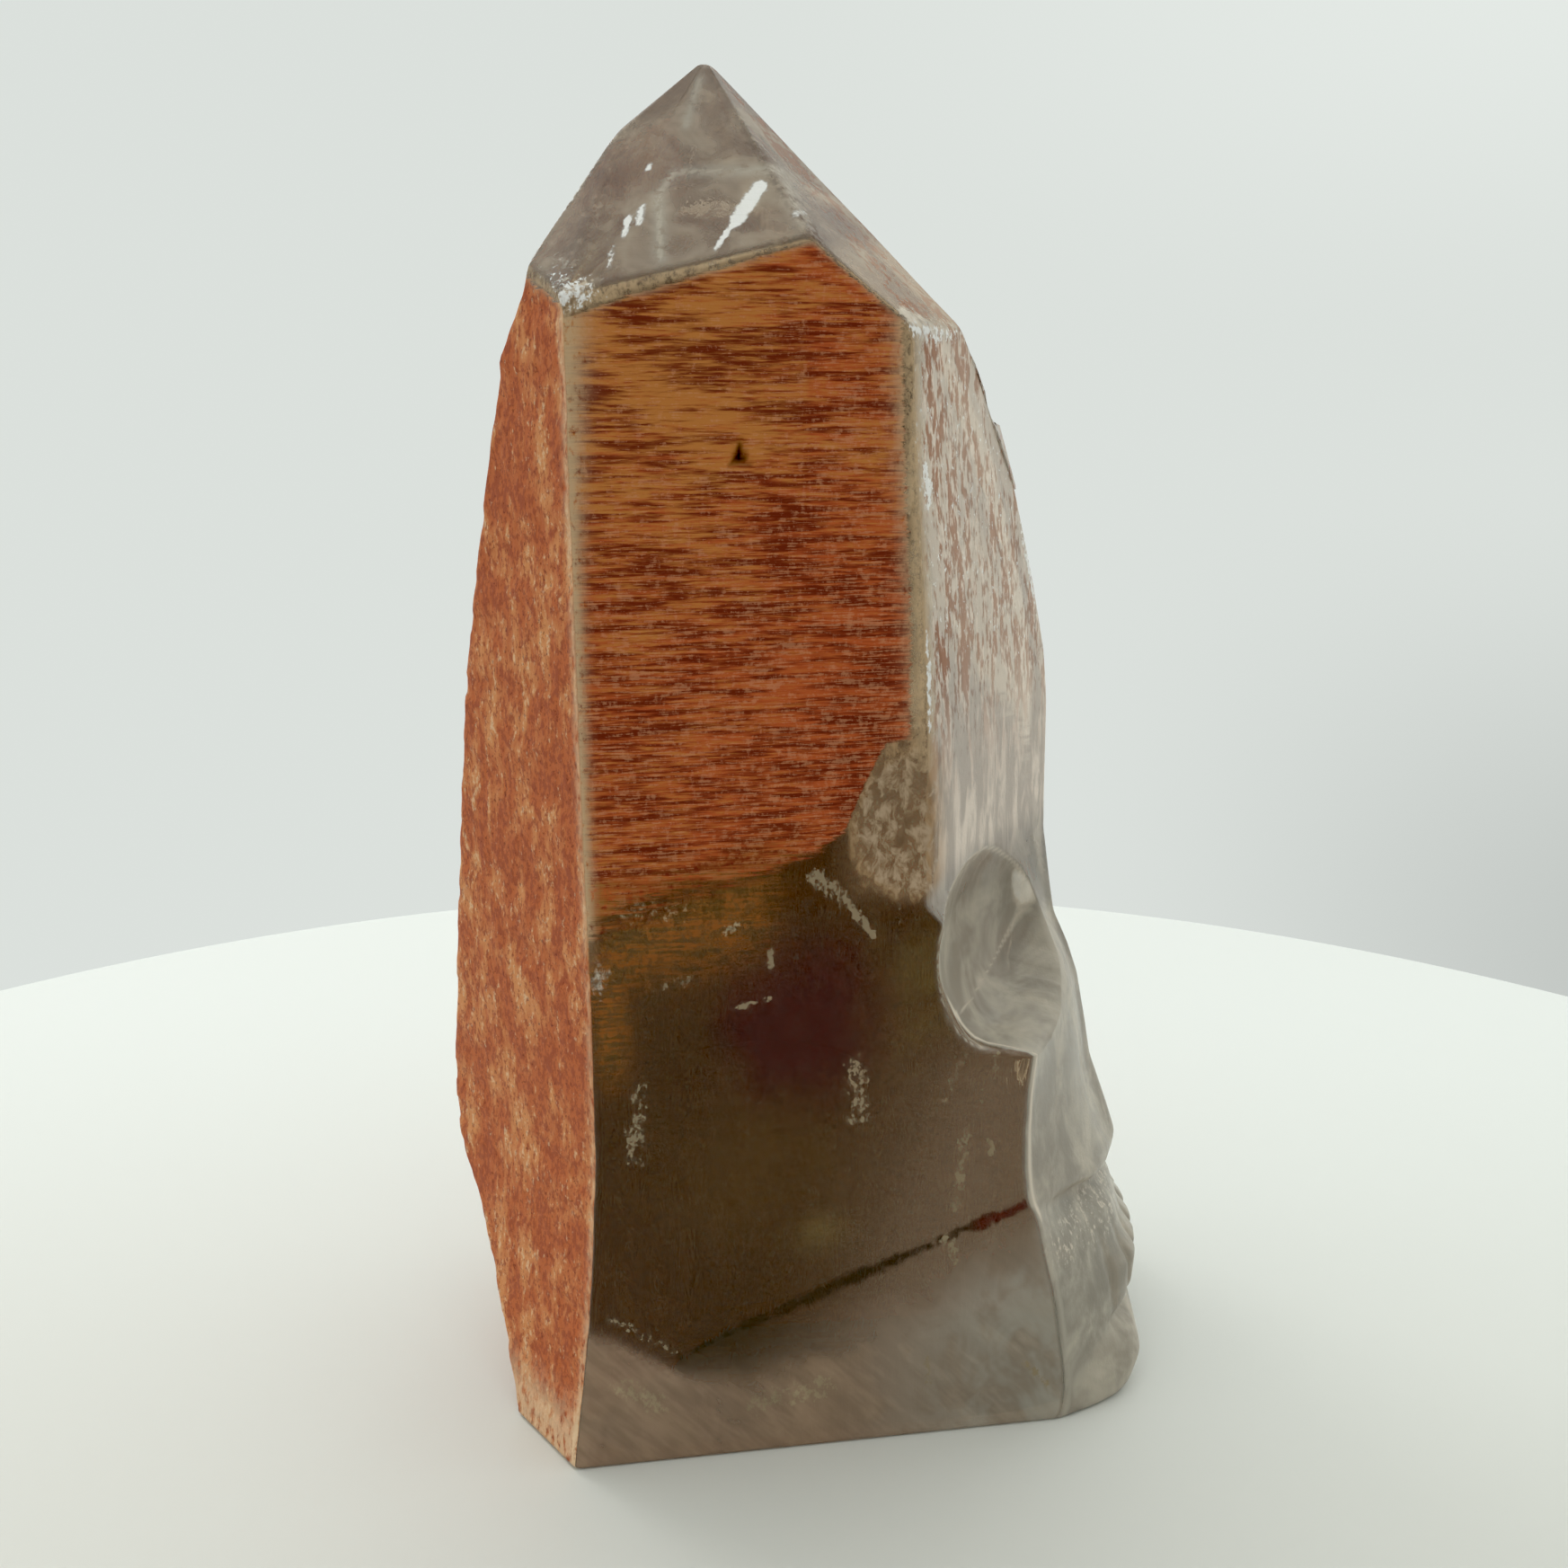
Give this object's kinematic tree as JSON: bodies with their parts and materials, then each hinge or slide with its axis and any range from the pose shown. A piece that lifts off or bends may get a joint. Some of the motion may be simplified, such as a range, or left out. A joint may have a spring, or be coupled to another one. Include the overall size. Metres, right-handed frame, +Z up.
{
  "type": "carved quartz skull point",
  "caption": "Free-standing quartz crystal point, tangerine-coated and smoky clear, with a skull face carved into its lower side above a flat cut base.",
  "frame": {"origin": "under the middle of the overall box, on the plane of the cut base", "axes": "+Z up to the crystal's tip, +X the way the carved skull looks, -Y the broad striated face seen from the front"},
  "size_m": [0.073, 0.0494, 0.1295],
  "materials": {
    "quartz": "clear smoky quartz, polished at the carving, with a thin rust-orange coat on the natural faces"
  },
  "bodies": {
    "root": {"skull_point": "quartz"}
  },
  "joints": []
}
